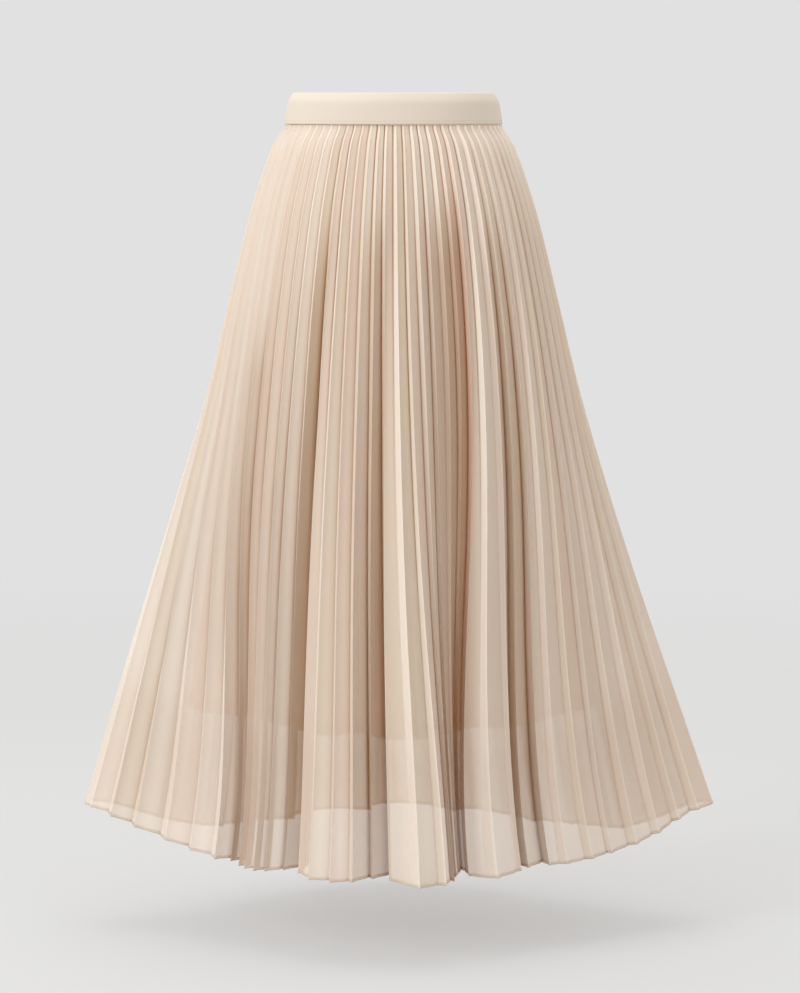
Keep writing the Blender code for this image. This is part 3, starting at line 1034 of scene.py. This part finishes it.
def sewing_thread(colours):
    """Spun polyester thread: matt, a shade deeper than the cloth, with a twisted ply."""
    made, tree, shader = new_material("spun_polyester_thread")
    place = add_node(tree, "ShaderNodeTexCoord").outputs["Object"]
    # 1600 to the metre: turns of the ply of about 0.6 mm, a little coarser than the real ones
    ply = add_node(
        tree, "ShaderNodeTexNoise", {"Scale": 1600.0, "Detail": 1.0}, {"Vector": place},
    ).outputs["Fac"]
    tree.links.new(mix_colours(tree, ply, colours.thread, srgb("C9B294")), shader.inputs["Base Color"])
    shader.inputs["Roughness"].default_value = 0.7
    return made


def finish_piece(piece, material, replaced=()):
    """Dresses a piece, sets it on the skirt's one body and hides the model parts that it replaces."""
    piece.data.materials.append(material)
    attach(piece, "root")
    if replaced:
        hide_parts(*replaced)


def thread_material(colours):
    """The one thread that all the stitches share."""
    return bpy.data.materials.get("spun_polyester_thread") or sewing_thread(colours)


def chiffon_material(colours):
    """The sheer chiffon of the broad faces of the pleats, and of the hems and side seams."""
    name = "pleated_polyester_chiffon"
    return bpy.data.materials.get(name) or pleated_chiffon(colours, name, SHEER_OPACITY)


def folded_chiffon_material(colours):
    """The same chiffon where a pleat folds back, seen through more of its cloth, so less sheer."""
    name = "pleated_polyester_chiffon_folded"
    return bpy.data.materials.get(name) or pleated_chiffon(colours, name, FOLDED_OPACITY)


def sew_hem(sewing, side, rows, across, height, thickness, cloth, values=None):
    """A sheet's turned hem, through its last two rows, and the line of stitches along it."""
    scene = bpy.context.scene
    end = HALVES[side].end
    hem = grid_piece(f"{sewing.slot}_hem_{end}", rows, side, across, height, values)
    thicken(hem, thickness + sewing.extra)
    finish_piece(hem, cloth)
    line = [top * (1 - sewing.down) + foot * sewing.down for top, foot in zip(*rows)]
    name = f"{sewing.slot}_hem_stitches_{end}"
    stitches = stitch_line(name, line, side, scene.skirt_sizes.stitch_pitch, sewing.thread)
    finish_piece(stitches, thread_material(scene.skirt_colours))
    return hem, stitches


class SKIRT_OT_pleated_panels(bpy.types.Operator):
    """Makes the sheer pleated front and back, each with its narrow stitched hem"""
    bl_idname = "skirt.pleated_panels"
    bl_label = "Pleated panels"

    def execute(self, context):
        sizes, colours = context.scene.skirt_sizes, context.scene.skirt_colours
        sheer = chiffon_material(colours)
        for side, half in HALVES.items():
            panel = pleated_panel(side, sizes.pleats, round(sizes.chiffon_hem, 6))
            rows = panel.rows
            # crest carries the pressed edges and the painted highlight; valley and fold_shade carry the
            # painted shade
            values = {
                "crest": [panel.crests] * len(rows),
                "tint": [panel.tints] * len(rows),
                "valley": panel.valleys,
                "fold_shade": fold_shade(rows, side),
            }
            width = sizes.pleats * PLEAT_CLOTH_AT_HEM
            piece = grid_piece(
                f"chiffon_{half.end}", rows, side, width, CENTRE_LENGTH, values, layered=panel.layered,
            )
            thicken(piece, sizes.chiffon_thickness)
            finish_piece(piece, sheer, [f"pleated_{half.end}"])
            piece.data.materials.append(folded_chiffon_material(colours))
            hem_values = {key: table[-2:] for key, table in values.items()}
            hem, stitches = sew_hem(
                CHIFFON_SEWING, side, rows[-2:], width, sizes.chiffon_hem, sizes.chiffon_thickness,
                sheer, hem_values,
            )
        return {"FINISHED"}


class SKIRT_OT_side_seams(bpy.types.Operator):
    """Makes the narrow enclosed seams inside the two sides of the pleated cloth"""
    bl_idname = "skirt.side_seams"
    bl_label = "Side seams"

    def execute(self, context):
        sizes, colours = context.scene.skirt_sizes, context.scene.skirt_colours
        panel = pleated_panel(FRONT, sizes.pleats, round(sizes.chiffon_hem, 6))
        for column, end, inward in ((0, "left", 1.0), (-1, "right", -1.0)):
            rows = []
            for row in panel.rows:
                edge = Vector((row[column].x, 0.0, row[column].z))
                steps = [
                    inward * sizes.seam_width * step / SIDE_SEAM_COLUMNS
                    for step in range(SIDE_SEAM_COLUMNS + 1)
                ]
                rows.append([edge + Vector((step, 0.0, 0.0)) for step in steps])
            piece = grid_piece(f"side_seam_{end}", rows, FRONT, sizes.seam_width, SIDE_LENGTH)
            thicken(piece, SIDE_SEAM_THICKNESS)
            finish_piece(piece, chiffon_material(colours))
        return {"FINISHED"}


class SKIRT_OT_lining(bpy.types.Operator):
    """Makes the plain, shorter lining with its stitched hem"""
    bl_idname = "skirt.lining"
    bl_label = "Lining"

    def execute(self, context):
        sizes, colours = context.scene.skirt_sizes, context.scene.skirt_colours
        satin = lining_satin(colours)
        foot_width = 2 * LEVELS[LINING_FOOT_LEVEL].half_width
        for side, half in HALVES.items():
            rows = lining_rows(side, sizes.lining_hem)
            piece = grid_piece(f"lining_cloth_{half.end}", rows, side, foot_width, LINING_LENGTH)
            thicken(piece, sizes.lining_thickness)
            finish_piece(piece, satin, [f"lining_{half.end}"])
            hem, stitches = sew_hem(
                LINING_SEWING, side, rows[-2:], foot_width, sizes.lining_hem, sizes.lining_thickness,
                satin,
            )
        return {"FINISHED"}


class SKIRT_OT_waistband(bpy.types.Operator):
    """Makes the plain waistband all round, with its rolled top edge and the seam along its foot"""
    bl_idname = "skirt.waistband"
    bl_label = "Waistband"

    def execute(self, context):
        sizes, colours = context.scene.skirt_sizes, context.scene.skirt_colours
        rows = band_rows(sizes.band_thickness)
        piece = grid_piece("waistband", rows, FRONT, 0.69, 2 * BAND_HEIGHT, closed=True)
        finish_piece(piece, waistband_crepe(colours), ["waistband_front", "waistband_back"])
        return {"FINISHED"}


class SKIRT_OT_stage(bpy.types.Operator):
    """Sets the pale floor, the soft studio light and the camera"""
    bl_idname = "skirt.stage"
    bl_label = "Studio"

    def execute(self, context):
        scene = context.scene
        made = bmesh.new()
        place = Matrix.Translation((0.0, 0.0, FLOOR_HEIGHT))
        bmesh.ops.create_circle(made, cap_ends=True, segments=96, radius=FLOOR_RADIUS, matrix=place)
        floor = place_mesh("floor", made)
        paper, tree, shader = new_material("studio_paper")
        shader.inputs["Base Color"].default_value = (0.3, 0.3, 0.305, 1.0)
        shader.inputs["Roughness"].default_value = 1.0
        shader.inputs["Emission Color"].default_value = (0.752, 0.752, 0.745, 1.0)
        shader.inputs["Emission Strength"].default_value = FLOOR_GLOW
        place = add_node(tree, "ShaderNodeTexCoord").outputs["Object"]
        far = add_node(tree, "ShaderNodeVectorMath", {"operation": "LENGTH"}, {0: place})
        fade = add_node(
            tree, "ShaderNodeMapRange",
            {"From Min": FLOOR_FADES_FROM, "From Max": FLOOR_GONE_AT, "To Min": 1.0, "To Max": 0.0,
             "interpolation_type": "SMOOTHSTEP"},
            {"Value": far.outputs["Value"]},
        ).outputs["Result"]
        tree.links.new(fade, shader.inputs["Alpha"])
        floor.data.materials.append(paper)
        world = bpy.data.worlds.new("studio")
        scene.world = world
        world.use_nodes = True
        sky = world.node_tree
        seen = add_node(sky, "ShaderNodeLightPath").outputs["Is Camera Ray"]
        level = add_node(
            sky, "ShaderNodeMapRange",
            {"From Min": 0.0, "From Max": 1.0, "To Min": AMBIENT_LEVEL, "To Max": BACKDROP_LEVEL},
            {"Value": seen},
        ).outputs["Result"]
        tone = mix_colours(sky, seen, AMBIENT_COLOUR, (1.0, 1.0, 1.0))
        backdrop = sky.nodes["Background"]
        sky.links.new(level, backdrop.inputs["Strength"])
        sky.links.new(tone, backdrop.inputs["Color"])
        for lamp in LAMPS:
            light = bpy.data.lights.new(lamp.name, "AREA")
            light.size = lamp.size
            light.energy = lamp.power
            light.color = LAMP_COLOUR
            fitting = bpy.data.objects.new(lamp.name, light)
            fitting.location = lamp.spot
            aim = Vector(LAMPS_AIM) - fitting.location
            fitting.rotation_euler = aim.to_track_quat("-Z", "Y").to_euler()
            scene.collection.objects.link(fitting)
        view = bpy.data.cameras.new("camera")
        view.lens = SENSOR * FOCAL_PIXELS / FRAME_HEIGHT
        view.sensor_width = SENSOR
        camera = bpy.data.objects.new("camera", view)
        camera.location = CAMERA_SPOT
        camera.rotation_euler = (
            math.radians(90 - CAMERA_LOOKS_DOWN), 0.0, math.radians(-CAMERA_TURNS_RIGHT),
        )
        scene.collection.objects.link(camera)
        scene.camera = camera
        scene.view_settings.view_transform = "Standard"
        return {"FINISHED"}


class SKIRT_PT_panel(bpy.types.Panel):
    """Lists the skirt's pieces in the sidebar"""
    bl_idname = "SKIRT_PT_panel"
    bl_label = "Skirt"
    bl_space_type = "VIEW_3D"
    bl_region_type = "UI"
    bl_category = "Skirt"

    def draw(self, context):
        layout = self.layout
        for group in (context.scene.skirt_sizes, context.scene.skirt_colours):
            for name in group.bl_rna.properties.keys():
                if name not in ("rna_type", "name"):
                    layout.prop(group, name)
        for operator in OPERATORS:
            layout.operator(operator.bl_idname)


OPERATORS = (
    SKIRT_OT_waistband,
    SKIRT_OT_pleated_panels,
    SKIRT_OT_side_seams,
    SKIRT_OT_lining,
    SKIRT_OT_stage,
)
CLASSES = (SkirtSizes, SkirtColours, *OPERATORS, SKIRT_PT_panel)


def register():
    """Makes the sizes, colours, operators and panel known."""
    for made in CLASSES:
        bpy.utils.register_class(made)
    bpy.types.Scene.skirt_sizes = PointerProperty(type=SkirtSizes)
    bpy.types.Scene.skirt_colours = PointerProperty(type=SkirtColours)


def unregister():
    """Takes them away again."""
    del bpy.types.Scene.skirt_colours
    del bpy.types.Scene.skirt_sizes
    for made in reversed(CLASSES):
        bpy.utils.unregister_class(made)


def main():
    """Builds the whole skirt and its studio."""
    register()
    for operator in OPERATORS:
        group, name = operator.bl_idname.split(".")
        getattr(getattr(bpy.ops, group), name)()


if __name__ == "__main__":
    main()
